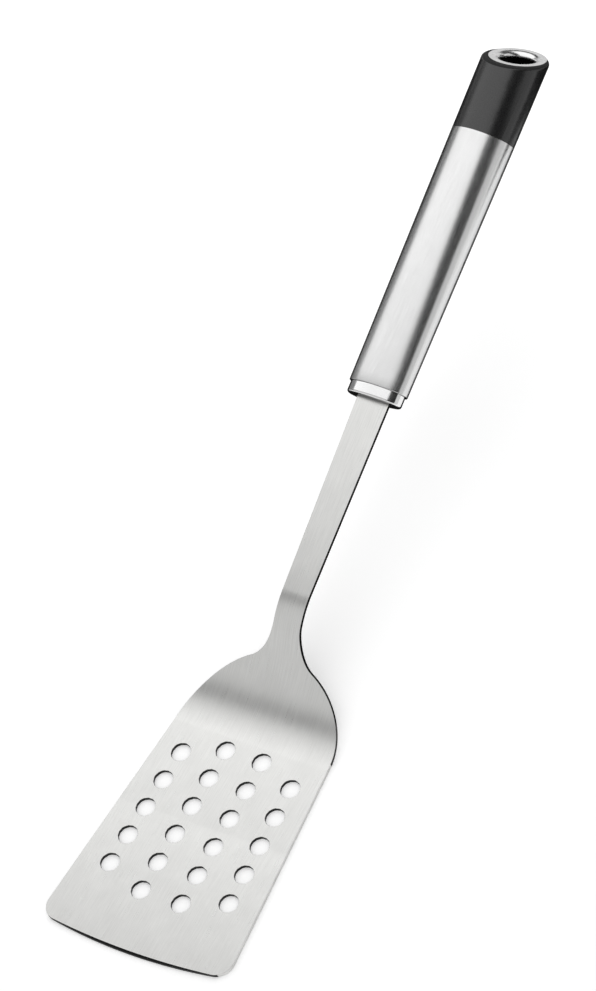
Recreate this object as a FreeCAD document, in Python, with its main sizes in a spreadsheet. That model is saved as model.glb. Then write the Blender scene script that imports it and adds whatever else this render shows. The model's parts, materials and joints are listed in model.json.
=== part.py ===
import FreeCAD, Part
import Sketcher
import os
from math import atan2, cos, radians, sin, sqrt, tan
from FreeCAD import Placement, Rotation, Vector

# A perforated steel spatula blade on a flat shank, with a hollow oval steel handle.
# Millimetres. X is across the blade, +Y runs from the blade to the handle, +Z is up.
# The origin is on the blade's underside, in the middle of its pattern of holes.

DRIVING_SIZES = {
    # the pressed sheet: blade, neck, shank and the tang inside the handle
    "sheetThickness": 1.5,
    "bladeReach": 58.7,
    "bladeMiddleWidth": 77.2,
    "bladeFlare": 4.7,
    "frontArcRadius": 240,
    "frontCornerRadius": 7,
    "frontBevel": 0.7,
    "shoulderStart": 40.3,
    "shoulderRadius": 34.5,
    "neckFilletRadius": 13,
    "neckWidth": 12.2,
    "shankWidth": 14.4,
    "heelStart": 38.5,
    "heelRadius": 50,
    "neckAngle": 47,
    "neckStraight": 4,
    "neckTopRadius": 34,
    "shankAngle": 16.9,
    "shankLength": 79.2,
    "tangLength": 42,
    # the drain holes, in columns that fan out towards the front edge
    "holeDiameter": 8,
    "holeColumnPitch": 17.52,
    "holeRowPitch": 13.11,
    "holeFan": 0.00155,
    # the oval handle
    "handleAngle": 15.3,
    "handleLift": 0.1,
    "sleeveLength": 106,
    "sleeveWall": 0.7,
    "frontWidth": 25.5,
    "frontThickness": 14.2,
    "frontSideRadius": 5,
    "endWidth": 27,
    "endThickness": 23,
    "endSideRadius": 9.4,
    "handleLength": 141,
    "fitClearance": 0.1,
    "ferruleProud": 4.8,
    "ferruleDepth": 12,
    "ferruleEdgeRadius": 1,
    "coreLength": 40,
    "spigotLength": 12,
    "spigotWall": 2,
    # the slanted end and the hanging hole
    "endSlant": 33.8,
    "endDrop": 0.7,
    "capRimRadius": 1.4,
    "eyeletFlangeDiameter": 22.8,
    "eyeletFlangeThickness": 1.2,
    "eyeletLipRadius": 2,
    "eyeletBore": 14.4,
    "eyeletWall": 0.8,
    "eyeletDepth": 5,
    "boreRelief": 0.3,
}

doc = FreeCAD.newDocument("spatula")
sheet = doc.addObject("Spreadsheet::Sheet", "Sizes")
for row, (alias, value) in enumerate(DRIVING_SIZES.items(), start=1):
    sheet.set(f"A{row}", alias)
    sheet.set(f"B{row}", str(value))
    sheet.setAlias(f"B{row}", alias)
doc.recompute()


def size(alias):
    """A driving size as the sheet holds it."""
    return float(sheet.get(alias))


def bodyNamed(label):
    body = doc.addObject("PartDesign::Body", label)
    body.Label = label
    return body


def planeSketch(body, name, role, height=None):
    """A sketch on one of the body's own origin planes, lifted by an expression if given."""
    sketch = body.newObject("Sketcher::SketchObject", name)
    plane = next(item for item in body.Origin.OriginFeatures if item.Role == role)
    sketch.AttachmentSupport = [(plane, "")]
    sketch.MapMode = "FlatFace"
    if height is not None:
        sketch.setExpression("AttachmentOffset.Base.z", height)
    return sketch


def polygon(points):
    return [Part.LineSegment(a, b) for a, b in zip(points, points[1:] + points[:1])]


def arcAbout(centre, start, end):
    """The shorter arc from start to end about centre."""
    middle = (start + end) * 0.5 - centre
    middle = centre + middle.normalize() * (start - centre).Length
    return Part.Arc(start, middle, end)


def symmetricCut(body, name, sketch):
    """Cut a sketch through the whole body, both ways from its plane."""
    cut = body.newObject("PartDesign::Pocket", name)
    cut.Profile = sketch
    cut.Type = "ThroughAll"
    cut.Midplane = True
    return cut


# ---- blade: one pressed sheet ----

def sheetPath():
    """Points and slopes of the sheet's top face, from the front edge to the end of the tang."""
    steep = radians(size("neckAngle"))
    shank = radians(size("shankAngle"))
    heel = size("heelRadius")
    top = size("neckTopRadius")
    front = Vector(0, -size("bladeReach"), size("sheetThickness"))
    heelStart = Vector(0, size("heelStart"), size("sheetThickness"))
    heelEnd = heelStart + Vector(0, heel * sin(steep), heel * (1 - cos(steep)))
    topStart = heelEnd + Vector(0, cos(steep), sin(steep)) * size("neckStraight")
    topEnd = topStart + Vector(0, sin(steep) - sin(shank), cos(shank) - cos(steep)) * top
    along = Vector(0, cos(shank), sin(shank))
    mouth = topEnd + along * size("shankLength")
    tangEnd = mouth + along * size("tangLength")
    return {
        "front": (front, 0),
        "heelStart": (heelStart, 0),
        "heelEnd": (heelEnd, steep),
        "topStart": (topStart, steep),
        "topEnd": (topEnd, shank),
        "mouth": (mouth, shank),
        "tangEnd": (tangEnd, shank),
    }


def sheetFace(depth):
    """The sheet's side view at a depth under its top face, in the sketch axes of the YZ plane."""
    node = {}
    for name, (point, slope) in sheetPath().items():
        lowered = point - Vector(0, -sin(slope), cos(slope)) * depth
        node[name] = Vector(lowered.y, lowered.z, 0)
    heelCentre = node["heelStart"] + Vector(0, size("heelRadius") + depth, 0)
    steep = radians(size("neckAngle"))
    topCentre = node["topStart"] + Vector(sin(steep), -cos(steep), 0) * (size("neckTopRadius") - depth)
    edges = [
        Part.LineSegment(node["front"], node["heelStart"]),
        arcAbout(heelCentre, node["heelStart"], node["heelEnd"]),
        Part.LineSegment(node["heelEnd"], node["topStart"]),
        arcAbout(topCentre, node["topStart"], node["topEnd"]),
        Part.LineSegment(node["topEnd"], node["tangEnd"]),
    ]
    return edges, node["front"], node["tangEnd"]


def bladeHalfWidth(y):
    """The blade flares towards its front edge, along a straight side."""
    return size("bladeMiddleWidth") / 2 - y * tan(radians(size("bladeFlare")))


def bladeOutline():
    """The blade, neck and shank seen from above: the right half, then the same mirrored."""
    flare = radians(size("bladeFlare"))
    inward = Vector(-cos(flare), -sin(flare), 0)

    # front edge, corner and side
    reach = size("bladeReach")
    bow = size("frontArcRadius")
    corner = size("frontCornerRadius")
    bowCentre = Vector(0, bow - reach, 0)
    sideFoot = Vector(bladeHalfWidth(0), 0, 0) + inward * corner
    upSide = Vector(-sin(flare), cos(flare), 0)
    offset = sideFoot - bowCentre
    nearby = offset.dot(upSide)
    away = offset.dot(offset) - (bow - corner) ** 2
    cornerCentre = sideFoot - upSide * (nearby + sqrt(nearby ** 2 - away))
    frontCorner = bowCentre + (cornerCentre - bowCentre).normalize() * bow
    sideLow = cornerCentre - inward * corner

    # shoulder and neck fillet, tangent to the side and to the shank
    sideHigh = Vector(bladeHalfWidth(size("shoulderStart")), size("shoulderStart"), 0)
    shoulderCentre = sideHigh + inward * size("shoulderRadius")
    neckX = size("neckWidth") / 2
    neckCentreX = neckX + size("neckFilletRadius")
    reachBoth = size("shoulderRadius") + size("neckFilletRadius")
    rise = sqrt(reachBoth ** 2 - (neckCentreX - shoulderCentre.x) ** 2)
    neckCentre = Vector(neckCentreX, shoulderCentre.y + rise, 0)
    meet = shoulderCentre + (neckCentre - shoulderCentre) * (size("shoulderRadius") / reachBoth)
    neckLow = Vector(neckX, neckCentre.y, 0)

    # shank, widening to the handle
    path = sheetPath()
    neckHigh = Vector(neckX, path["topEnd"][0].y, 0)
    mouth = Vector(size("shankWidth") / 2, path["mouth"][0].y, 0)
    tangEnd = Vector(size("shankWidth") / 2, path["tangEnd"][0].y + size("sheetThickness"), 0)

    half = [
        arcAbout(cornerCentre, frontCorner, sideLow),
        Part.LineSegment(sideLow, sideHigh),
        arcAbout(shoulderCentre, sideHigh, meet),
        arcAbout(neckCentre, meet, neckLow),
        Part.LineSegment(neckLow, neckHigh),
        Part.LineSegment(neckHigh, mouth),
        Part.LineSegment(mouth, tangEnd),
    ]
    mirrored = [edge.copy() for edge in half]
    for edge in mirrored:
        edge.mirror(Vector(0, 0, 0), Vector(0, 1, 0))
    otherCorner = Vector(-frontCorner.x, frontCorner.y, 0)
    otherEnd = Vector(-tangEnd.x, tangEnd.y, 0)
    front = arcAbout(bowCentre, otherCorner, frontCorner)
    return half + mirrored + [front, Part.LineSegment(tangEnd, otherEnd)]


def holeCentres():
    """Four columns that fan out: six holes in each middle one, five in each outer one."""
    centres = []
    for column in (-1.5, -0.5, 0.5, 1.5):
        inMiddlePair = abs(column) < 1
        rows = (-2.5, -1.5, -0.5, 0.5, 1.5, 2.5) if inMiddlePair else (-2, -1, 0, 1, 2)
        for row in rows:
            y = row * size("holeRowPitch")
            x = column * size("holeColumnPitch") * (1 - size("holeFan") * y)
            centres.append(Vector(x, y, 0))
    return centres


def makeBlade():
    body = bodyNamed("blade")

    side = planeSketch(body, "BladeSideView", "YZ_Plane")
    topEdges, topFront, topEnd = sheetFace(0)
    lowEdges, lowFront, lowEnd = sheetFace(size("sheetThickness"))
    side.addGeometry(topEdges + lowEdges)
    side.addGeometry([Part.LineSegment(topFront, lowFront), Part.LineSegment(topEnd, lowEnd)])
    sheetPad = body.newObject("PartDesign::Pad", "PressedSheet")
    sheetPad.Profile = side
    sheetPad.Midplane = True
    sheetPad.setExpression("Length", "Sizes.bladeMiddleWidth * 2")

    trim = planeSketch(body, "BladePlanView", "XY_Plane")
    farX = size("bladeMiddleWidth") * 2
    lowY = -size("bladeReach") * 2
    highY = sheetPath()["tangEnd"][0].y * 2
    frame = [Vector(-farX, lowY, 0), Vector(farX, lowY, 0), Vector(farX, highY, 0), Vector(-farX, highY, 0)]
    trim.addGeometry(polygon(frame) + bladeOutline())
    symmetricCut(body, "TrimToOutline", trim)

    drain = planeSketch(body, "DrainHoles", "XY_Plane")
    for centre in holeCentres():
        circle = drain.addGeometry(Part.Circle(centre, Vector(0, 0, 1), size("holeDiameter") / 2))
        rim = drain.addConstraint(Sketcher.Constraint("Diameter", circle, size("holeDiameter")))
        drain.setExpression(f"Constraints[{rim}]", "Sizes.holeDiameter")
    holes = symmetricCut(body, "DrainHoleCut", drain)
    doc.recompute()

    bevel = body.newObject("PartDesign::Chamfer", "FrontBevel")
    bevel.Base = (holes, [frontTopEdge(holes.Shape)])
    bevel.setExpression("Size", "Sizes.frontBevel")
    return body


def frontTopEdge(shape):
    """The long bowed edge at the front of the top face."""
    wanted = Vector(0, -size("bladeReach"), size("sheetThickness"))
    spot = Part.Vertex(wanted)
    distances = [edge.distToShape(spot)[0] for edge in shape.Edges]
    return f"Edge{distances.index(min(distances)) + 1}"


# ---- handle: its own axes have Z along the handle, X across it and Y towards the underside ----

def handleStart():
    """The sleeve's front end, centred on the sheet where the shank enters the handle."""
    mouth, slope = sheetPath()["mouth"]
    middle = mouth - Vector(0, -sin(slope), cos(slope)) * (size("sheetThickness") / 2)
    lean = radians(size("handleAngle"))
    lift = Vector(0, -sin(lean), cos(lean)) * size("handleLift")
    return middle + Vector(0, cos(slope), sin(slope)) * size("ferruleProud") + lift


def placeOnHandle(body):
    start = handleStart()
    body.Placement = Placement(start, Rotation(Vector(-1, 0, 0), 90 - size("handleAngle")))
    body.setExpression("Placement.Rotation.Angle", "90 deg - Sizes.handleAngle * 1 deg")


def ovalAt(station, inset=0):
    """Half width, half thickness and side radius of the handle at a station along it."""
    share = station / size("handleLength")
    width = size("frontWidth") + (size("endWidth") - size("frontWidth")) * share
    thickness = size("frontThickness") + (size("endThickness") - size("frontThickness")) * share
    side = size("frontSideRadius") + (size("endSideRadius") - size("frontSideRadius")) * share
    return width / 2 - inset, thickness / 2 - inset, side - inset


def ovalEdges(station, inset=0):
    """Four tangent arcs: wide ones in front and behind, tight ones at the sides."""
    halfWidth, halfThick, side = ovalAt(station, inset)
    sideX = halfWidth - side
    wide = (sideX ** 2 + halfThick ** 2 - side ** 2) / (2 * (halfThick - side))
    turn = atan2(wide - halfThick, sideX)
    joint = Vector(sideX + side * cos(turn), side * sin(turn), 0)
    flipX = Vector(-joint.x, joint.y, 0)
    flipY = Vector(joint.x, -joint.y, 0)
    flipBoth = Vector(-joint.x, -joint.y, 0)
    return [
        Part.Arc(flipY, Vector(halfWidth, 0, 0), joint),
        Part.Arc(joint, Vector(0, halfThick, 0), flipX),
        Part.Arc(flipX, Vector(-halfWidth, 0, 0), flipBoth),
        Part.Arc(flipBoth, Vector(0, -halfThick, 0), flipY),
    ]


def ovalLoft(body, name, kind, stations, inset=0):
    """Loft the oval between two stations, both given as (number, expression)."""
    sections = []
    for index, (station, expression) in enumerate(stations):
        section = planeSketch(body, f"{name}Section{index}", "XY_Plane", expression)
        section.addGeometry(ovalEdges(station, inset))
        sections.append(section)
    loft = body.newObject(kind, name)
    loft.Profile = sections[0]
    loft.Sections = sections[1:]
    loft.Ruled = True
    return loft


def tangSlot(body, name, farStation):
    """A slot for the tang, which lies at its own slope to the handle, ending at a station."""
    turn = radians(size("shankAngle") - size("handleAngle"))
    along = Vector(-sin(turn), cos(turn), 0)
    across = Vector(cos(turn), sin(turn), 0) * (size("sheetThickness") / 2 + size("fitClearance"))
    middle = Vector(size("handleLift"), 0, 0)
    near = middle - along * (2 * size("ferruleProud"))
    far = middle + along * farStation
    slot = planeSketch(body, f"{name}SideView", "YZ_Plane")
    slot.addGeometry(polygon([near - across, near + across, far + across, far - across]))
    cut = body.newObject("PartDesign::Pocket", name)
    cut.Profile = slot
    cut.Midplane = True
    cut.setExpression("Length", "Sizes.shankWidth + 2 * Sizes.fitClearance")
    return cut


def makeFerrule():
    """The polished plug that closes the sleeve around the shank."""
    body = bodyNamed("front_ferrule")
    placeOnHandle(body)
    section = planeSketch(body, "FerruleSection", "XY_Plane", "-Sizes.ferruleProud")
    section.addGeometry(ovalEdges(0, size("sleeveWall") + size("fitClearance")))
    plug = body.newObject("PartDesign::Pad", "FerrulePlug")
    plug.Profile = section
    plug.setExpression("Length", "Sizes.ferruleProud + Sizes.ferruleDepth")
    doc.recompute()
    rim = edgesAtStation(plug.Shape, -size("ferruleProud"))
    rounding = body.newObject("PartDesign::Fillet", "FerruleNose")
    rounding.Base = (plug, rim)
    rounding.setExpression("Radius", "Sizes.ferruleEdgeRadius")
    tangSlot(body, "FerruleSlot", 2 * size("ferruleDepth"))
    return body


def edgesAtStation(shape, station):
    """The edges that lie flat in one cross-section of a body in handle axes."""
    tolerance = size("fitClearance") / 1000
    names = []
    for index, edge in enumerate(shape.Edges, start=1):
        box = edge.BoundBox
        if abs(box.ZMin - station) < tolerance and abs(box.ZMax - station) < tolerance:
            names.append(f"Edge{index}")
    return names


def makeSleeve():
    """The thin steel tube, opening from a flat oval to a nearly round one."""
    body = bodyNamed("handle_sleeve")
    placeOnHandle(body)
    stations = [(0, "0 mm"), (size("sleeveLength"), "Sizes.sleeveLength")]
    ovalLoft(body, "SleeveOutside", "PartDesign::AdditiveLoft", stations)
    ovalLoft(body, "SleeveInside", "PartDesign::SubtractiveLoft", stations, size("sleeveWall"))
    return body


def makeCore():
    """The plastic block inside the sleeve that grips the tang."""
    body = bodyNamed("tang_core")
    placeOnHandle(body)
    stations = [
        (size("ferruleDepth"), "Sizes.ferruleDepth"),
        (size("ferruleDepth") + size("coreLength"), "Sizes.ferruleDepth + Sizes.coreLength"),
    ]
    inset = size("sleeveWall") + size("fitClearance")
    ovalLoft(body, "CoreBlock", "PartDesign::AdditiveLoft", stations, inset)
    tangSlot(body, "CoreSlot", size("tangLength") - size("ferruleProud") + size("fitClearance"))
    return body


def endSketch(body, name):
    """A side-view sketch whose own axes start at the eyelet: across the slanted face, and out of it."""
    sketch = planeSketch(body, name, "YZ_Plane")
    place = Placement(Vector(0, 0, 0), Rotation(Vector(0, 0, 1), size("endSlant")))
    sketch.AttachmentOffset = place
    sketch.setExpression("AttachmentOffset.Base.x", "Sizes.endDrop")
    sketch.setExpression("AttachmentOffset.Base.y", "Sizes.handleLength")
    sketch.setExpression("AttachmentOffset.Rotation.Angle", "Sizes.endSlant * 1 deg")
    return sketch


def turned(body, name, kind, points, geometry):
    """Revolve a profile about the eyelet's axis."""
    sketch = endSketch(body, f"{name}Profile")
    sketch.addGeometry(geometry(points))
    feature = body.newObject(kind, name)
    feature.Profile = sketch
    feature.ReferenceAxis = (sketch, ["V_Axis"])
    feature.Angle = 360
    return feature


def makeEndCap():
    """The moulded black end, cut on a slant, with the hanging hole from there to its underside."""
    body = bodyNamed("end_cap")
    placeOnHandle(body)
    joint = (size("sleeveLength"), "Sizes.sleeveLength")
    beyond = (size("handleLength") + size("endThickness"), "Sizes.handleLength + Sizes.endThickness")
    spigot = (size("sleeveLength") - size("spigotLength"), "Sizes.sleeveLength - Sizes.spigotLength")
    inset = size("sleeveWall") + size("fitClearance")
    ovalLoft(body, "CapOutside", "PartDesign::AdditiveLoft", [joint, beyond])

    slant = endSketch(body, "SlantedEndSideView")
    far = 4 * size("endThickness")
    slant.addGeometry(polygon([Vector(-far, 0), Vector(far, 0), Vector(far, far), Vector(-far, far)]))
    face = symmetricCut(body, "SlantedEnd", slant)
    doc.recompute()
    rounding = body.newObject("PartDesign::Fillet", "CapRim")
    rounding.Base = (face, slantedEdges(face.Shape))
    rounding.setExpression("Radius", "Sizes.capRimRadius")

    ovalLoft(body, "Spigot", "PartDesign::AdditiveLoft", [spigot, joint], inset)
    coring = inset + size("spigotWall")
    ovalLoft(body, "SpigotCoring", "PartDesign::SubtractiveLoft", [spigot, joint], coring)

    clear = size("fitClearance")
    bore = size("eyeletBore") / 2
    relief = bore + size("boreRelief")
    barrel = bore + size("eyeletWall") + clear
    flange = size("eyeletFlangeDiameter") / 2 + clear
    seat = -size("eyeletFlangeThickness")
    ledge = -size("eyeletDepth")
    below = -2 * size("endThickness")
    steps = [
        Vector(0, far),
        Vector(flange, far),
        Vector(flange, seat),
        Vector(barrel, seat),
        Vector(barrel, ledge),
        Vector(relief, ledge),
        Vector(relief, below),
        Vector(0, below),
    ]
    turned(body, "HangingHole", "PartDesign::Groove", steps, polygon)
    return body


def slantedEdges(shape):
    """The rim of the slanted face, which is the face whose normal points furthest along its slant."""
    slant = radians(size("endSlant"))
    outward = Vector(0, -sin(slant), cos(slant))
    faces = [face for face in shape.Faces if face.Surface.TypeId == "Part::GeomPlane"]
    slanted = max(faces, key=lambda face: face.normalAt(0, 0).dot(outward))
    names = []
    for index, edge in enumerate(shape.Edges, start=1):
        if any(edge.isSame(rim) for rim in slanted.Edges):
            names.append(f"Edge{index}")
    return names


def eyeletOutline(points):
    """Straight runs between the points, closed by the round lip from the flange into the bore."""
    runs = [Part.LineSegment(a, b) for a, b in zip(points, points[1:])]
    lip = size("eyeletLipRadius")
    lipCentre = points[-1] - Vector(0, lip)
    return runs + [arcAbout(lipCentre, points[-1], points[0])]


def makeEyelet():
    """The polished steel bush that lines the hanging hole."""
    body = bodyNamed("hanging_eyelet")
    placeOnHandle(body)
    bore = size("eyeletBore") / 2
    barrel = bore + size("eyeletWall")
    flange = size("eyeletFlangeDiameter") / 2
    lip = size("eyeletLipRadius")
    seat = -size("eyeletFlangeThickness")
    points = [
        Vector(bore, -lip),
        Vector(bore, -size("eyeletDepth")),
        Vector(barrel, -size("eyeletDepth")),
        Vector(barrel, seat),
        Vector(flange, seat),
        Vector(flange, 0),
        Vector(bore + lip, 0),
    ]
    turned(body, "EyeletBush", "PartDesign::Revolution", points, eyeletOutline)
    return body


def checkAndExport(bodies):
    doc.recompute()
    for item in doc.Objects:
        if "Invalid" in item.State or "Error" in item.State:
            raise RuntimeError(f"{item.Label} failed: {item.State}")
    os.makedirs("parts", exist_ok=True)
    for body in bodies:
        shape = body.Shape
        if shape.isNull() or not shape.isValid() or len(shape.Solids) != 1:
            raise RuntimeError(f"{body.Label} is not one valid solid")
        print(f"{body.Label}: {shape.Volume:.1f} mm3, {shape.BoundBox}")
        shape.exportStep(f"parts/{body.Label}.step")


checkAndExport([makeBlade(), makeFerrule(), makeSleeve(), makeCore(), makeEndCap(), makeEyelet()])
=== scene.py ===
import bpy
import json
import numpy as np
from math import atan2, cos, radians, sin, sqrt, tan
from mathutils import Matrix, Vector
from mathutils.geometry import delaunay_2d_cdt


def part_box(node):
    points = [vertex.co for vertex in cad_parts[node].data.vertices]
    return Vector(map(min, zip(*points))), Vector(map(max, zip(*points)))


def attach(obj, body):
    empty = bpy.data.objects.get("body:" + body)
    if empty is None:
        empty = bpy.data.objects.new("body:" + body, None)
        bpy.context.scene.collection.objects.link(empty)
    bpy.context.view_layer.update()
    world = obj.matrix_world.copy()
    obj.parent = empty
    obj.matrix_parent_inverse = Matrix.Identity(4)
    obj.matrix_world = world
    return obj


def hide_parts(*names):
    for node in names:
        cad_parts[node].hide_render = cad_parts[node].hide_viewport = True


# A perforated steel spatula with an oval steel handle and a black slanted end.
# Metres, in the part's own frame: X across the blade, +Y to the handle's end, +Z up.

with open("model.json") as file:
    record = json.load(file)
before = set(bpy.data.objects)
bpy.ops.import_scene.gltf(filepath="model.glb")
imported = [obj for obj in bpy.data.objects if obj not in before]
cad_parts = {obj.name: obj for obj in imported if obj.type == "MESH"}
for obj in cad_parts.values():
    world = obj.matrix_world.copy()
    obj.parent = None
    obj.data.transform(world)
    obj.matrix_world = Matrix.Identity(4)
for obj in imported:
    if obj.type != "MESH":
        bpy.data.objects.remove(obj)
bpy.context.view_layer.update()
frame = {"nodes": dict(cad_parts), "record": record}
hangingEye = next(mount for mount in frame["record"]["mounts"] if mount["name"] == "hanging_eye")
white = (1, 1, 1, 1)
black = (0, 0, 0, 1)
mostNoise = (0.25, 0.75)     # nearly all of a noise lies between these, and its bulk between the next two
midNoise = (0.3, 0.7)
print("frame loaded:", ", ".join(sorted(frame["nodes"])))


def linear(hexColour):
    # sRGB hex to linear: c / 12.92 below 0.04045, else ((c + 0.055) / 1.055) to the power 2.4
    parts = [int(hexColour[i:i + 2], 16) / 255 for i in (1, 3, 5)]
    return tuple(c / 12.92 if c <= 0.04045 else ((c + 0.055) / 1.055) ** 2.4 for c in parts) + (1,)


def addNode(tree, kind, settings=None, links=None):
    # settings go to the node's own fields or to its input sockets, links to its input sockets
    node = tree.nodes.new(kind)
    for name, value in (settings or {}).items():
        if isinstance(name, int) or name in node.inputs:
            node.inputs[name].default_value = value
        else:
            setattr(node, name, value)
    for name, output in (links or {}).items():
        tree.links.new(output, node.inputs[name])
    return node


def maths(tree, operation, *values):
    # a Math node whose inputs are other nodes' outputs or plain numbers
    node = addNode(tree, "ShaderNodeMath", {"operation": operation})
    for socket, value in zip(node.inputs, values):
        if isinstance(value, bpy.types.NodeSocket):
            tree.links.new(value, socket)
        else:
            socket.default_value = value
    return node.outputs["Value"]


def spread(tree, output, low, high, toLow=0.0, toHigh=1.0):
    # low to high in the output becomes toLow to toHigh, and stays there beyond both ends
    limits = {"From Min": low, "From Max": high, "To Min": toLow, "To Max": toHigh}
    return addNode(tree, "ShaderNodeMapRange", limits, {"Value": output}).outputs["Result"]


def noise(tree, place, scale, detail, roughness=0.5):
    settings = {"Scale": scale, "Detail": detail, "Roughness": roughness}
    return addNode(tree, "ShaderNodeTexNoise", settings, {"Vector": place}).outputs["Fac"]


def objectPlace(tree):
    return addNode(tree, "ShaderNodeTexCoord").outputs["Object"]


def setRamp(node, stops):
    # stops are (position, brightness) pairs
    stops = list(stops)
    ramp = node.color_ramp
    while len(ramp.elements) < len(stops):
        ramp.elements.new(0.5)
    while len(ramp.elements) > len(stops):
        ramp.elements.remove(ramp.elements[-1])
    for element, (position, value) in zip(ramp.elements, stops):
        element.position = position
        element.color = (value, value, value, 1)


def newMaterial(name):
    material = bpy.data.materials.new(name)
    material.use_nodes = True
    return material, material.node_tree, material.node_tree.nodes["Principled BSDF"]


def newPiece(name, points, faces, materials, grain, faceMaterial=None):
    # grain holds each point's place on the flat or unrolled metal, across and along the brushing
    mesh = bpy.data.meshes.new(name)
    mesh.from_pydata(points.tolist(), [], faces)
    for material in materials:
        mesh.materials.append(material)
    if faceMaterial is not None:
        mesh.polygons.foreach_set("material_index", np.asarray(faceMaterial, np.int32))
    mesh.polygons.foreach_set("use_smooth", np.ones(len(faces), bool))
    layer = mesh.attributes.new("grain", "FLOAT_VECTOR", "POINT")
    layer.data.foreach_set("vector", grain.ravel())
    mesh.update()
    piece = bpy.data.objects.new(name, mesh)
    bpy.context.scene.collection.objects.link(piece)
    return piece


def ringFaces(rows, around):
    # quads of a closed skin of rings: each ring joins the next, and the last one the first
    row, column = np.meshgrid(np.arange(rows), np.arange(around), indexing="ij")
    below, beside = (row + 1) % rows, (column + 1) % around
    quads = [row * around + column, row * around + beside, below * around + beside, below * around + column]
    return np.stack(quads, -1).reshape(-1, 4).tolist()


steelLook = {
    "bladeColour": "#e4e4e2",
    "bladeRoughness": 0.3,
    "tubeColour": "#dedede",
    "tubeRoughness": 0.19,
    "edgeTint": 0.1,         # how bright brushed steel stays at a grazing angle
    "anisotropy": 0.75,
    "grainWidth": 0.0004,    # real lines are finer, and these are coarser so that they show
    "grainLength": 0.012,
    "bladeStreak": 0.08,     # how much lighter and darker the streaks are
    "tubeStreak": 0.05,
    "glossiest": 0.87,       # the roughness of the streaks, as shares of the steel's own
    "roughest": 1.17,
    "cloudScale": 90.0,      # faint wider clouds of tone
    # painted shade: the blanked edge's colour is darkened to stand in for the shade along the sheet's edges
    "cutEdgeShadeColour": "#242425",
    "cutEdgeRoughness": 0.45,
    "tearScale": 1500.0,
    "tearContrast": 0.3,
    "polishedColour": "#ededed",
    "wipeScale": 220.0,
    "wipeGlossier": 0.03,    # how much less and more rough the wipe marks are
    "wipeRougher": 0.04,
    "ferruleRoughness": 0.13,
    "ferruleTint": 0.3,      # how bright the polished ferrule stays at a grazing angle
    "eyeletRoughness": 0.24,
    "eyeletTint": 1.0,
    # painted shade: the colour of the bore's inner wall below that level
    "boreShadeColour": "#2b2b2b",
    "boreShadeLevel": 0.0012,     # how far above the eyelet's mount the painted shade of its inner wall ends
}


def brushedSteel(name, colour, roughness, streak, tangent):
    # ferritic stainless sheet, belt-ground in one direction: a soft grey sheen with fine streaks,
    # reflections stretched across the lines
    material, tree, shader = newMaterial(name)
    place = addNode(tree, "ShaderNodeAttribute", {"attribute_name": "grain"}).outputs["Vector"]
    finest = (1 / steelLook["grainWidth"], 1 / steelLook["grainLength"], 0)
    grain = addNode(tree, "ShaderNodeVectorMath", {"operation": "MULTIPLY", 1: finest}, {0: place})
    streaks = noise(tree, grain.outputs["Vector"], 1.0, 3.0, 0.6)
    clouds = noise(tree, place, steelLook["cloudScale"], 3.0)
    streakTone = spread(tree, streaks, *mostNoise, 1 - streak, 1 + streak)
    cloudTone = spread(tree, clouds, *midNoise, 1 - streak / 3, 1 + streak / 3)
    base = addNode(tree, "ShaderNodeMix", {"data_type": "RGBA", "blend_type": "MULTIPLY", "Factor": 1.0})
    base.inputs[6].default_value = linear(colour)
    tree.links.new(maths(tree, "MULTIPLY", streakTone, cloudTone), base.inputs[7])
    rough = spread(tree, streaks, *mostNoise,
                   roughness * steelLook["glossiest"], roughness * steelLook["roughest"])
    tree.links.new(base.outputs[2], shader.inputs["Base Color"])
    tree.links.new(rough, shader.inputs["Roughness"])
    tree.links.new(tangent(tree), shader.inputs["Tangent"])
    shader.inputs["Metallic"].default_value = 1
    shader.inputs["Specular Tint"].default_value = (steelLook["edgeTint"],) * 3 + (1,)
    shader.inputs["Anisotropic"].default_value = steelLook["anisotropy"]
    return material


def acrossBlade(tree):
    # the blade's lines run along Y, so the sheen stretches along X
    return addNode(tree, "ShaderNodeCombineXYZ", {"X": 1.0}).outputs["Vector"]


def roundTube(tree):
    # the handle's lines run along its axis, so the sheen stretches round it: axis x normal
    axis = addNode(tree, "ShaderNodeCombineXYZ", {"Y": handleAxis.y, "Z": handleAxis.z}).outputs["Vector"]
    normal = addNode(tree, "ShaderNodeNewGeometry").outputs["Normal"]
    turn = addNode(tree, "ShaderNodeVectorMath", {"operation": "CROSS_PRODUCT"}, {0: axis, 1: normal})
    return turn.outputs["Vector"]


def cutEdgeShadeSteel(name):
    # the sheet's blanked edge: torn, unpolished metal, made a darker grey than such an edge is, as painted
    # shade for the dark outline along the sheet's edges
    material, tree, shader = newMaterial(name)
    tear = noise(tree, objectPlace(tree), steelLook["tearScale"], 2.0)
    shade = addNode(tree, "ShaderNodeValToRGB", {}, {"Fac": tear})
    dark, contrast = linear(steelLook["cutEdgeShadeColour"])[0], steelLook["tearContrast"]
    setRamp(shade, zip(midNoise, (dark * (1 - contrast), dark * (1 + contrast))))
    tree.links.new(shade.outputs["Color"], shader.inputs["Base Color"])
    shader.inputs["Metallic"].default_value = 1
    shader.inputs["Roughness"].default_value = steelLook["cutEdgeRoughness"]
    return material


def beyond(tree, mount, offset):
    # 1 above the plane point . axis = mount . axis + offset, else 0, with a soft step of 0.1 mm
    axis = Vector(mount["axis"])
    level = Vector(mount["pos_m"]).dot(axis) + offset
    place = objectPlace(tree)
    along = addNode(tree, "ShaderNodeVectorMath", {"operation": "DOT_PRODUCT", 1: axis}, {0: place})
    return spread(tree, along.outputs["Value"], level, level + 0.0001)


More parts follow.
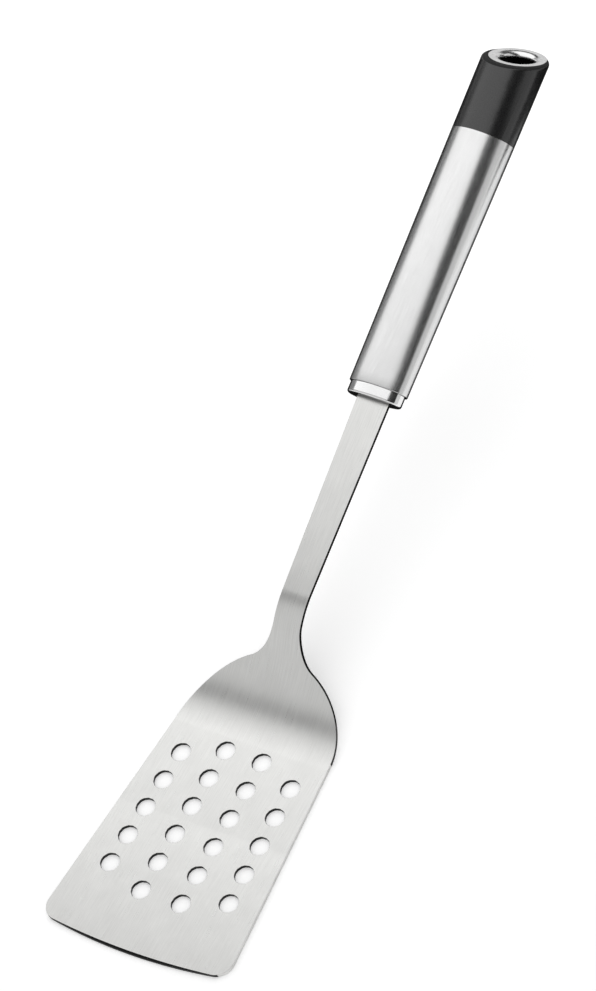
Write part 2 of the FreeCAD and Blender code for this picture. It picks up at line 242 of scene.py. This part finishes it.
def polishedSteel(name, roughness, edgeTint, mount=None):
    # austenitic stainless, buffed: nearly a mirror, with faint wipe marks in its gloss; with a mount, the
    # wall of the bush below a level above that mount is painted near black, as painted shade deep in the
    # bore
    material, tree, shader = newMaterial(name)
    wipes = noise(tree, objectPlace(tree), steelLook["wipeScale"], 3.0)
    rough = spread(tree, wipes, *midNoise,
                   roughness - steelLook["wipeGlossier"], roughness + steelLook["wipeRougher"])
    tree.links.new(rough, shader.inputs["Roughness"])
    shader.inputs["Base Color"].default_value = linear(steelLook["polishedColour"])
    shader.inputs["Metallic"].default_value = 1
    shader.inputs["Specular Tint"].default_value = (edgeTint,) * 3 + (1,)
    if mount:
        # painted shade: the bore's wall below the level takes the near-black colour
        base = addNode(tree, "ShaderNodeMix", {"data_type": "RGBA"})
        base.inputs[6].default_value = linear(steelLook["boreShadeColour"])
        base.inputs[7].default_value = linear(steelLook["polishedColour"])
        tree.links.new(beyond(tree, mount, steelLook["boreShadeLevel"]), base.inputs[0])
        tree.links.new(base.outputs[2], shader.inputs["Base Color"])
    return material


plasticLook = {
    "capColour": "#0e0e0f",
    "capRoughness": 0.3,
    "coreColour": "#2c2c2e",
    "coreRoughness": 0.5,
    "shine": 0.85,           # how strong its plain reflection is
    "refraction": 1.5,
    "endFaceMatt": 0.7,      # how much rougher the slanted face round the eyelet is
    "endFaceLevel": 0.0029,  # how far above the eyelet's mount that face begins
    "gritSize": 0.00035,     # spark-eroded mould texture, about a third of a millimetre
    "gritGloss": 0.05,       # how much the grit changes the roughness
    "gritStrength": 0.15,
    "gritDepth": 0.00005,
}


def mouldedPlastic(name, colour, roughness, endFace=None):
    # glass-filled polyamide from a finely spark-eroded mould: black with a soft, slightly grainy sheen
    material, tree, shader = newMaterial(name)
    grit = noise(tree, objectPlace(tree), 1 / plasticLook["gritSize"], 2.0)
    change = plasticLook["gritGloss"]
    rough = spread(tree, grit, *midNoise, roughness - change, roughness + change)
    if endFace:
        above = beyond(tree, endFace, plasticLook["endFaceLevel"])
        rough = maths(tree, "MULTIPLY_ADD", above, plasticLook["endFaceMatt"], rough)
    relief = {"Strength": plasticLook["gritStrength"], "Distance": plasticLook["gritDepth"]}
    bump = addNode(tree, "ShaderNodeBump", relief, {"Height": grit})
    tree.links.new(rough, shader.inputs["Roughness"])
    tree.links.new(bump.outputs["Normal"], shader.inputs["Normal"])
    shader.inputs["Base Color"].default_value = linear(colour)
    shader.inputs["IOR"].default_value = plasticLook["refraction"]
    shader.inputs["Specular IOR Level"].default_value = plasticLook["shine"]
    return material


blade = {
    "thickness": 0.0015,
    "reach": 0.0587,
    "middleWidth": 0.0772,
    "flare": 4.7,            # degrees that each long side leans outwards to the front
    "frontBow": 0.24,        # the radius of the bowed front edge
    "cornerRadius": 0.007,
    "shoulderStart": 0.0403,
    "shoulderRadius": 0.0345,
    "neckFillet": 0.013,
    "neckWidth": 0.0122,
    "shankWidth": 0.0144,
    "heelStart": 0.0385,
    "heelRadius": 0.05,      # of the top face, as topRadius is
    "neckAngle": 47,         # degrees above the blade, as shankAngle is
    "neckStraight": 0.004,
    "topRadius": 0.034,
    "shankAngle": 16.9,
    "shankLength": 0.0792,
    "tangLength": 0.042,
    "holeDiameter": 0.008,
    "columnPitch": 0.01752,
    "rowPitch": 0.01311,
    "fan": 1.55,             # the share by which the columns part for each metre to the front
    "holePoints": 56,
    "rimRadius": 0.00012,
    "frontRound": 0.0008,    # how much rounder the ground front edge is in its middle
    "frontFrom": 0.8,        # the front edge lies beyond this share of the reach
    "frontFacing": 0.9,      # and faces forwards by this cosine or more
    "sidesFrom": 0.43,       # the long sides lie beyond this share of the middle width
    "outlineSteps": (0.002, 0.0004, 0.0008, 0.0006),    # along the front, corner, shoulder and neck
}


def bendStations(b):
    # where the side view changes from flat to heel, neck, upper bend and shank: y, z of the top face
    steep, shank = radians(b["neckAngle"]), radians(b["shankAngle"])
    y = [b["heelStart"]]
    z = [b["thickness"]]
    steps = [
        (b["heelRadius"] * sin(steep), b["heelRadius"] * (1 - cos(steep))),
        (b["neckStraight"] * cos(steep), b["neckStraight"] * sin(steep)),
        (b["topRadius"] * (sin(steep) - sin(shank)), b["topRadius"] * (cos(shank) - cos(steep))),
        (b["shankLength"] * cos(shank), b["shankLength"] * sin(shank)),
        (b["tangLength"] * cos(shank), b["tangLength"] * sin(shank)),
    ]
    for dy, dz in steps:
        y.append(y[-1] + dy)
        z.append(z[-1] + dz)
    return y, z


def slopeAt(b, y):
    # the slope of the pressed sheet over y, and whether that point belongs to the heel or the upper bend
    ys, _ = bendStations(b)
    steep, shank = radians(b["neckAngle"]), radians(b["shankAngle"])
    heel = np.arcsin(np.clip((y - ys[0]) / b["heelRadius"], 0, sin(steep)))
    upper = np.arcsin(np.clip(sin(steep) - (y - ys[2]) / b["topRadius"], sin(shank), sin(steep)))
    return np.where(y < ys[2], heel, upper), y < ys[2]


def pressed(b, x, y, depth):
    # a point of the flat blank, bent up: z = R (1 - cos slope) on each arc, straight after it,
    # and depth goes down from the top face
    ys, zs = bendStations(b)
    steep, shank = radians(b["neckAngle"]), radians(b["shankAngle"])
    slope, inHeel = slopeAt(b, y)
    neckRise = np.clip(y - ys[1], 0, ys[2] - ys[1]) * tan(steep)
    heelZ = b["thickness"] + b["heelRadius"] * (1 - np.cos(slope)) + neckRise
    shankRise = np.clip(y - ys[3], 0, None) * tan(shank)
    upperZ = zs[2] + b["topRadius"] * (np.cos(slope) - cos(steep)) + shankRise
    z = np.where(inHeel, heelZ, upperZ)
    return np.stack([x, y + depth * np.sin(slope), z - depth * np.cos(slope)], -1)


def pressedNormal(b, y, out, turn):
    # the normal of the rounding at a turn from the top face's own normal towards the outward side
    slope, _ = slopeAt(b, y)
    up = np.stack([0 * slope, -np.sin(slope), np.cos(slope)], -1)
    side = np.stack([out[:, 0], out[:, 1] * np.cos(slope), out[:, 1] * np.sin(slope)], -1)
    return up * np.cos(turn) + side * np.sin(turn)


def arcPoints(centre, start, end, step):
    # points along the shorter arc about centre, step apart, without its last one
    angle = atan2(start[1] - centre[1], start[0] - centre[0])
    turn = atan2(end[1] - centre[1], end[0] - centre[0]) - angle
    turn = (turn + np.pi) % (2 * np.pi) - np.pi
    radius = np.hypot(start[0] - centre[0], start[1] - centre[1])
    count = max(4, int(abs(turn) * radius / step))
    angles = angle + turn * np.arange(count) / count
    return np.stack([centre[0] + radius * np.cos(angles), centre[1] + radius * np.sin(angles)], -1)


def blankOutline(b):
    # the right half from the front's middle to the tang's end, then the left half mirrored, anticlockwise
    flare = radians(b["flare"])
    inward = np.array([-cos(flare), -sin(flare)])
    upSide = np.array([-sin(flare), cos(flare)])
    bowCentre = np.array([0, b["frontBow"] - b["reach"]])
    sideFoot = np.array([b["middleWidth"] / 2, 0]) + inward * b["cornerRadius"]
    offset = sideFoot - bowCentre
    away = offset @ offset - (b["frontBow"] - b["cornerRadius"]) ** 2
    nearby = offset @ upSide
    cornerCentre = sideFoot - upSide * (nearby + sqrt(nearby ** 2 - away))
    toCorner = cornerCentre - bowCentre
    frontCorner = bowCentre + toCorner / np.linalg.norm(toCorner) * b["frontBow"]
    sideLow = cornerCentre - inward * b["cornerRadius"]
    sideHigh = np.array([b["middleWidth"] / 2 - b["shoulderStart"] * tan(flare), b["shoulderStart"]])
    shoulderCentre = sideHigh + inward * b["shoulderRadius"]
    neckX = b["neckWidth"] / 2
    both = b["shoulderRadius"] + b["neckFillet"]
    rise = sqrt(both ** 2 - (neckX + b["neckFillet"] - shoulderCentre[0]) ** 2)
    neckCentre = np.array([neckX + b["neckFillet"], shoulderCentre[1] + rise])
    meet = shoulderCentre + (neckCentre - shoulderCentre) * b["shoulderRadius"] / both
    ys, _ = bendStations(b)
    middleFront = np.array([0, -b["reach"]])
    neckLow, shankX = np.array([neckX, neckCentre[1]]), b["shankWidth"] / 2
    frontStep, cornerStep, shoulderStep, neckStep = b["outlineSteps"]
    half = np.concatenate([
        arcPoints(bowCentre, middleFront, frontCorner, frontStep),
        arcPoints(cornerCentre, frontCorner, sideLow, cornerStep),
        [sideLow],
        arcPoints(shoulderCentre, sideHigh, meet, shoulderStep),
        arcPoints(neckCentre, meet, neckLow, neckStep),
        [neckLow, [neckX, ys[3]], [shankX, ys[4]], [shankX, ys[5]]],
    ])
    left = half[:0:-1] * [-1, 1]
    return np.concatenate([half, left]), abs(frontCorner[0])


def holeRings(b, margin):
    # six holes in each middle column and five in each outer one, half a row off, fanned to the front
    angle = np.linspace(0, 2 * np.pi, b["holePoints"], endpoint=False)
    circle = (b["holeDiameter"] / 2 + margin) * np.stack([np.cos(angle), np.sin(angle)], -1)
    rings = []
    for column in (-1.5, -0.5, 0.5, 1.5):
        rows = np.arange(-2.5, 3) if abs(column) < 1 else np.arange(-2.0, 3)
        for y in rows * b["rowPitch"]:
            x = column * b["columnPitch"] * (1 - b["fan"] * y)
            rings.append(np.array([x, y]) + circle)
    return rings


def outwardOf(points):
    # the normal to the right of a closed loop's own direction, from its neighbours on both sides
    along = np.roll(points, -1, 0) - np.roll(points, 1, 0)
    normal = np.stack([along[:, 1], -along[:, 0]], -1)
    return normal / np.linalg.norm(normal, axis=1)[:, None]


def atFront(b, points, normals):
    return (normals[:, 1] < -b["frontFacing"]) & (points[:, 1] < -b["reach"] * b["frontFrom"])


def rimWidths(b, points, normals, cornerX):
    # the rounding's width: fine all round, and wider along the ground front edge, most in its middle
    bulge = np.clip(1 - (points[:, 0] / cornerX) ** 2, 0, 1)
    return b["rimRadius"] + np.where(atFront(b, points, normals), b["frontRound"] * bulge, 0)


def flatTriangles(b, outline):
    # the flat sheet between its outline and its holes, as points and anticlockwise triangles
    points, edges = [], []
    for loop in [outline] + holeRings(b, b["rimRadius"]):
        first = len(points)
        points += loop.tolist()
        edges += [(first + i, first + (i + 1) % len(loop)) for i in range(len(loop))]
    # lines across the two bends, one for each degree, so that they bend smoothly
    ys, _ = bendStations(b)
    steep, shank = b["neckAngle"], b["shankAngle"]
    heel = ys[0] + b["heelRadius"] * np.sin(np.radians(np.arange(0, steep + 1)))
    upper = ys[2] + b["topRadius"] * (sin(radians(steep)) - np.sin(np.radians(np.arange(shank, steep))))
    for y in np.concatenate([heel, upper]):
        points += [[-b["middleWidth"], y], [b["middleWidth"], y]]
        edges.append((len(points) - 2, len(points) - 1))
    insideOnly, tolerance = 1, 1e-7
    solved = delaunay_2d_cdt([Vector(p) for p in points], edges, [], insideOnly, tolerance)
    plan = np.array([list(p) for p in solved[0]])
    faces = np.array([face for face in solved[2] if len(face) == 3])
    # leave out the triangles inside the holes, and then the points that no triangle uses
    centres = np.array([ring.mean(0) for ring in holeRings(b, 0)])
    apart = np.linalg.norm(plan[faces].mean(1)[:, None] - centres[None], axis=2).min(1)
    faces = faces[apart > b["holeDiameter"] / 2]
    used, faces = np.unique(faces, return_inverse=True)
    faces = faces.reshape(-1, 3)
    plan = plan[used]
    turned = np.cross(plan[faces[:, 1]] - plan[faces[:, 0]], plan[faces[:, 2]] - plan[faces[:, 0]]) < 0
    faces[turned] = faces[turned][:, ::-1]
    return plan, faces


def borderOf(plan, faces):
    # the border runs with the metal on its left: its points, where each one's follower stands
    # among them, and their outward directions, to the right of the way from neighbour to neighbour
    sides = np.concatenate([faces[:, [0, 1]], faces[:, [1, 2]], faces[:, [2, 0]]])
    key = np.sort(sides, 1) @ [len(plan), 1]
    _, index, count = np.unique(key, return_index=True, return_counts=True)
    border = sides[index[count == 1]]
    rim = border[:, 0]
    after, before, order = np.full((3, len(plan)), -1)
    after[rim] = border[:, 1]
    before[border[:, 1]] = rim
    order[rim] = np.arange(len(rim))
    along = plan[after[rim]] - plan[before[rim]]
    out = np.stack([along[:, 1], -along[:, 0]], -1)
    out /= np.linalg.norm(out, axis=1)[:, None]
    return rim, order[after[rim]], out


def makeBlade(b, faceSteel, edgeShadeSteel):
    outline, cornerX = blankOutline(b)
    normals = outwardOf(outline)
    plan, faces = flatTriangles(b, outline - normals * rimWidths(b, outline, normals, cornerX)[:, None])
    rim, following, out = borderOf(plan, faces)
    width = rimWidths(b, plan[rim], out, cornerX)

    # each border point carries a profile, of offset, depth and turn: a rounding down to the wall,
    # and a fine one below it
    turn = np.radians([30, 60, 90])
    low, thickness = b["rimRadius"], b["thickness"]
    profile = [(width * sin(a), width * (1 - cos(a)), a) for a in turn]
    profile += [(width - low * (1 - sin(a)), thickness - low * (1 - cos(a)), np.pi - a) for a in turn[::-1]]
    still = np.zeros_like(plan)
    under = np.zeros_like(plan)
    under[rim] = out * (width - low)[:, None]
    under = plan + under
    flat = [plan, under]
    points = [pressed(b, *plan.T, 0), pressed(b, *under.T, thickness)]
    normals = [pressedNormal(b, plan[:, 1], still, 0), pressedNormal(b, plan[:, 1], still, np.pi)]
    for offset, depth, a in profile:
        moved = plan[rim] + out * offset[:, None]
        flat.append(moved)
        points.append(pressed(b, *moved.T, depth))
        normals.append(pressedNormal(b, moved[:, 1], out, a))
    starts = 2 * len(plan) + len(rim) * np.arange(len(profile))
    chain = [rim] + [start + np.arange(len(rim)) for start in starts] + [len(plan) + rim]
    quads = [np.stack([upper, lower, lower[following], upper[following]], -1)
             for upper, lower in zip(chain, chain[1:])]
    allFaces = faces.tolist() + (faces[:, ::-1] + len(plan)).tolist() + np.concatenate(quads).tolist()

    # the blanked edge gets the dark steel, which is painted shade, but the rounding above it and the blade's
    # long sides are bright; at the front the rounding carries that painted shade as well
    front = atFront(b, plan[rim], out)
    outside = np.abs(plan[rim, 0]) > b["middleWidth"] * b["sidesFrom"]
    longSide = outside & (plan[rim, 1] < b["shoulderStart"]) & ~front
    # 1 marks the faces that take the painted-shade edge steel
    paintedShadeIndex = np.concatenate([np.zeros(2 * len(faces)), front, np.tile(~longSide, len(quads) - 1)])
    grain = np.pad(np.concatenate(flat), ((0, 0), (0, 1)))
    piece = newPiece("blade_pressed", np.concatenate(points), allFaces, [faceSteel, edgeShadeSteel], grain, paintedShadeIndex)
    piece.data.normals_split_custom_set_from_vertices(np.concatenate(normals))
    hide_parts("blade")
    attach(piece, "root")
    print("blade:", len(allFaces), "faces,", len(rim), "rim points")


handle = {
    "angle": 15.3,
    "length": 0.141,
    "sleeveLength": 0.106,
    "wall": 0.0007,
    "frontWidth": 0.0255,
    "frontThickness": 0.0142,
    "frontSide": 0.005,
    "endWidth": 0.027,
    "endThickness": 0.023,
    "endSide": 0.0094,
    "edgeRound": 0.00025,
    "pointsPerArc": 30,
    "outerRings": 24,
    "innerRings": 12,
    "sharpFrom": 40,         # degrees between faces from which an edge stays sharp
}
lean = radians(handle["angle"])
handleAxis = Vector((0, cos(lean), sin(lean)))
handleUp = Vector((0, -sin(lean), cos(lean)))
# the sleeve's lowest front corner lies half its front thickness below the axis
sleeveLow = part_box("handle_sleeve")[0]
halfFront = handle["frontThickness"] / 2
handleStart = Vector((0, sleeveLow.y + halfFront * sin(lean), sleeveLow.z + halfFront * cos(lean)))


def ovalPoints(h, station, inset):
    # four tangent arcs, wide above and below and tight at the sides, at a station along the handle
    share = station / h["length"]
    halfWidth = (h["frontWidth"] + (h["endWidth"] - h["frontWidth"]) * share) / 2 - inset
    halfThick = (h["frontThickness"] + (h["endThickness"] - h["frontThickness"]) * share) / 2 - inset
    side = h["frontSide"] + (h["endSide"] - h["frontSide"]) * share - inset
    sideX = halfWidth - side
    wide = (sideX ** 2 + halfThick ** 2 - side ** 2) / (2 * (halfThick - side))
    turn = atan2(wide - halfThick, sideX)
    step = np.arange(h["pointsPerArc"]) / h["pointsPerArc"]
    right = -turn + 2 * turn * step
    above = turn + (np.pi - 2 * turn) * step
    x = np.concatenate([sideX + side * np.cos(right), wide * np.cos(above)])
    z = np.concatenate([side * np.sin(right), wide * np.sin(above) - (wide - halfThick)])
    # the other half is the same one turned by half a turn
    across, up = np.concatenate([x, -x]), np.concatenate([z, -z])
    centre = np.array(handleStart) + station * np.array(handleAxis)
    return centre + across[:, None] * [1, 0, 0] + up[:, None] * np.array(handleUp)


def makeSleeve(h, steel):
    # rings of the oval over the tube's rounded front edge, along its outside and back along its inside,
    # each as (station, inset)
    edge, wall, end = h["edgeRound"], h["wall"], h["sleeveLength"]
    rows = [(edge * (1 - sin(a)), edge * (1 - cos(a))) for a in np.radians([90, 60, 30, 0])]
    rows += [(s, 0) for s in np.linspace(edge, end, h["outerRings"])[1:]]
    rows += [(s, wall) for s in np.linspace(end, 0, h["innerRings"])]
    rings = np.stack([ovalPoints(h, s, inset) for s, inset in rows])
    points = rings.reshape(-1, 3)
    faces = ringFaces(*rings.shape[:2])
    # unrolled: the way round each ring, by the length of its steps, and the station along the handle
    steps = np.linalg.norm(np.diff(rings, axis=1, prepend=rings[:, :1]), axis=2)
    stations = np.broadcast_to(np.array(rows)[:, :1], steps.shape)
    grain = np.stack([np.cumsum(steps, axis=1), stations, 0 * steps], -1)
    piece = newPiece("sleeve_brushed", points, faces, [steel], grain)
    piece.data.set_sharp_from_angle(angle=radians(h["sharpFrom"]))
    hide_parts("handle_sleeve")
    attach(piece, "root")
    print("sleeve:", len(faces), "faces")


bladeSteel = brushedSteel("brushed stainless sheet", steelLook["bladeColour"], steelLook["bladeRoughness"],
                          steelLook["bladeStreak"], acrossBlade)
tubeSteel = brushedSteel("brushed stainless tube", steelLook["tubeColour"], steelLook["tubeRoughness"],
                         steelLook["tubeStreak"], roundTube)
makeBlade(blade, bladeSteel, cutEdgeShadeSteel("blanked steel edge with painted shade"))
makeSleeve(handle, tubeSteel)

ferruleSteel = polishedSteel("polished steel ferrule", steelLook["ferruleRoughness"],
                             steelLook["ferruleTint"])
eyeletSteel = polishedSteel("polished steel eyelet with painted bore shade", steelLook["eyeletRoughness"], steelLook["eyeletTint"],
                            hangingEye)
capPlastic = mouldedPlastic("moulded black polyamide", plasticLook["capColour"], plasticLook["capRoughness"],
                            hangingEye)
corePlastic = mouldedPlastic("moulded core polyamide", plasticLook["coreColour"],
                             plasticLook["coreRoughness"])
carried = {
    "front_ferrule": ferruleSteel,
    "hanging_eyelet": eyeletSteel,
    "end_cap": capPlastic,
    "tang_core": corePlastic,
}
for name, material in carried.items():
    node = frame["nodes"][name]
    node.data.materials.clear()
    node.data.materials.append(material)
print("plain solids dressed:", ", ".join(carried))


studio = {
    "floorColour": "#f4f4f4",
    "floorGlow": 0.32,       # how much brighter it looks than it lights
    "floorHalf": 30,
    "floorDrop": 0.0001,
    "boxLow": (-0.9, 0.01),
    "boxHigh": (0.11, 0.7),
    "boxHeight": 0.35,
    "boxPower": 1.1,
    "sky": 0.68,
    # glowing sheets that only gloss sees, as painted reflections, and the dark ones on the floor are painted
    # shadow of the handle seen in the steel: their lowest and highest corner, and their brightness over y
    "glossOnlyReflections": {
        "graded painted reflection before the softbox": ((-0.9, -0.15, 0.35), (0.11, 0.25, 0.35), [
            (-0.15, 0.68), (-0.09, 0.64), (-0.05, 0.42), (-0.01, 0.3), (0.02, 0.42), (0.05, 0.68),
            (0.1, 0.86), (0.15, 0.97), (0.2, 1.08), (0.25, 1.15)]),
        "dark painted reflection beside the softbox": ((0.11, -0.15, 0.35), (0.42, 1.1, 0.35), [(0, 0.03)]),
        "painted shadow under the handle": ((-1.6, 0.06, 0.0003), (0.045, 0.44, 0.0003), [(0, 0.02)]),
        "painted shadow beside the cap": ((0.045, 0.33, 0.0003), (0.4, 0.6, 0.0003), [(0, 0.02)]),
        "grey painted reflection behind the handle": ((-1.6, 0.44, 0.0003), (0.045, 1.3, 0.0003), [(0, 0.75)]),
        "upright painted reflection on the left": ((-1.6, -0.3, 0.0), (-1.6, 1.3, 0.56), [(0, 0.24)]),
        "upright painted reflection at the back": ((-1.6, 1.3, 0.0), (1.2, 1.3, 0.72), [(0, 0.1)]),
    },
}


def newSheet(name, corners, finish, colour, roughness):
    # one face of the stage in a plain colour, with no shine of its own, and ready to glow white
    mesh = bpy.data.meshes.new(name)
    mesh.from_pydata(corners, [], [(0, 1, 2, 3)])
    sheet = bpy.data.objects.new(name, mesh)
    bpy.context.scene.collection.objects.link(sheet)
    material, tree, shader = newMaterial(finish)
    shader.inputs["Base Color"].default_value = colour
    shader.inputs["Roughness"].default_value = roughness
    shader.inputs["Specular IOR Level"].default_value = 0
    shader.inputs["Emission Color"].default_value = white
    mesh.materials.append(material)
    return sheet, tree, shader


def makeFloor(s):
    # the camera, metal and glass see the floor a little brighter than it lights the spatula
    half, level = s["floorHalf"], -s["floorDrop"]
    corners = [(-half, -half, level), (half, -half, level), (half, half, level), (-half, half, level)]
    _, tree, shader = newSheet("floor", corners, "matt white floor", linear(s["floorColour"]), 1)
    rays = addNode(tree, "ShaderNodeLightPath").outputs
    seen = maths(tree, "MAXIMUM", rays["Is Camera Ray"], rays["Is Glossy Ray"])
    seen = maths(tree, "MAXIMUM", seen, rays["Is Transmission Ray"])
    tree.links.new(maths(tree, "MULTIPLY", seen, s["floorGlow"]), shader.inputs["Emission Strength"])


def makeWorld(s):
    world = bpy.data.worlds.new("studio")
    world.use_nodes = True
    background = world.node_tree.nodes["Background"]
    background.inputs["Color"].default_value = white
    background.inputs["Strength"].default_value = s["sky"]
    bpy.context.scene.world = world


def makePaintedReflection(name, low, high, levels):
    # an upright or level rectangle between two corners; one level is plain, more run over y; it glows for
    # gloss alone, as a painted reflection
    first = 0 if low[0] != high[0] else 1
    second, fourth = list(low), list(high)
    second[first], fourth[first] = high[first], low[first]
    card, tree, shader = newSheet(name, [low, second, high, fourth], name, black, 0.5)
    shader.inputs["Emission Strength"].default_value = levels[0][1]
    if len(levels) > 1:
        headroom = 2.0   # a ramp holds 1 at most, so it carries the levels divided by this
        along = addNode(tree, "ShaderNodeSeparateXYZ", {}, {"Vector": objectPlace(tree)})
        share = spread(tree, along.outputs["Y"], low[1], high[1])
        ramp = addNode(tree, "ShaderNodeValToRGB", {}, {"Fac": share})
        setRamp(ramp, [((y - low[1]) / (high[1] - low[1]), value / headroom) for y, value in levels])
        strength = maths(tree, "MULTIPLY", ramp.outputs["Color"], headroom)
        tree.links.new(strength, shader.inputs["Emission Strength"])
    card.visible_camera = False
    card.visible_diffuse = False
    card.visible_transmission = False
    card.visible_shadow = False


def makeSoftbox(s):
    (lowX, lowY), (highX, highY) = s["boxLow"], s["boxHigh"]
    data = bpy.data.lights.new("softbox", "AREA")
    data.shape = "RECTANGLE"
    data.size = highX - lowX
    data.size_y = highY - lowY
    data.energy = s["boxPower"]
    lamp = bpy.data.objects.new("softbox", data)
    lamp.location = ((lowX + highX) / 2, (lowY + highY) / 2, s["boxHeight"])
    lamp.visible_camera = False
    bpy.context.scene.collection.objects.link(lamp)


makeFloor(studio)
makeWorld(studio)
makeSoftbox(studio)
for name, values in studio["glossOnlyReflections"].items():
    makePaintedReflection(name, *values)
print("studio lit")


camera = {
    "target": (-0.0034, 0.1177, 0.0585),
    "distance": 3.04,
    "azimuth": 52.845,
    "elevation": 51.798,
    "roll": -28.405,
    "lens": 290.62,
    "sensor": 36,
    "nearest": 0.1,
    "farthest": 20,
}


def makeCamera(c):
    # the camera looks at the target from its azimuth and elevation, then turns about its own axis
    azimuth, elevation = radians(c["azimuth"]), radians(c["elevation"])
    back = Vector((sin(azimuth) * cos(elevation), -cos(azimuth) * cos(elevation), sin(elevation)))
    data = bpy.data.cameras.new("camera")
    data.lens = c["lens"]
    data.sensor_width = c["sensor"]
    data.clip_start = c["nearest"]
    data.clip_end = c["farthest"]
    item = bpy.data.objects.new("camera", data)
    bpy.context.scene.collection.objects.link(item)
    look = back.to_track_quat("Z", "Y").to_matrix().to_4x4()
    place = Matrix.Translation(Vector(c["target"]) + back * c["distance"])
    item.matrix_world = place @ look @ Matrix.Rotation(radians(c["roll"]), 4, "Z")
    bpy.context.scene.camera = item


makeCamera(camera)
bpy.context.scene.view_settings.view_transform = "Standard"
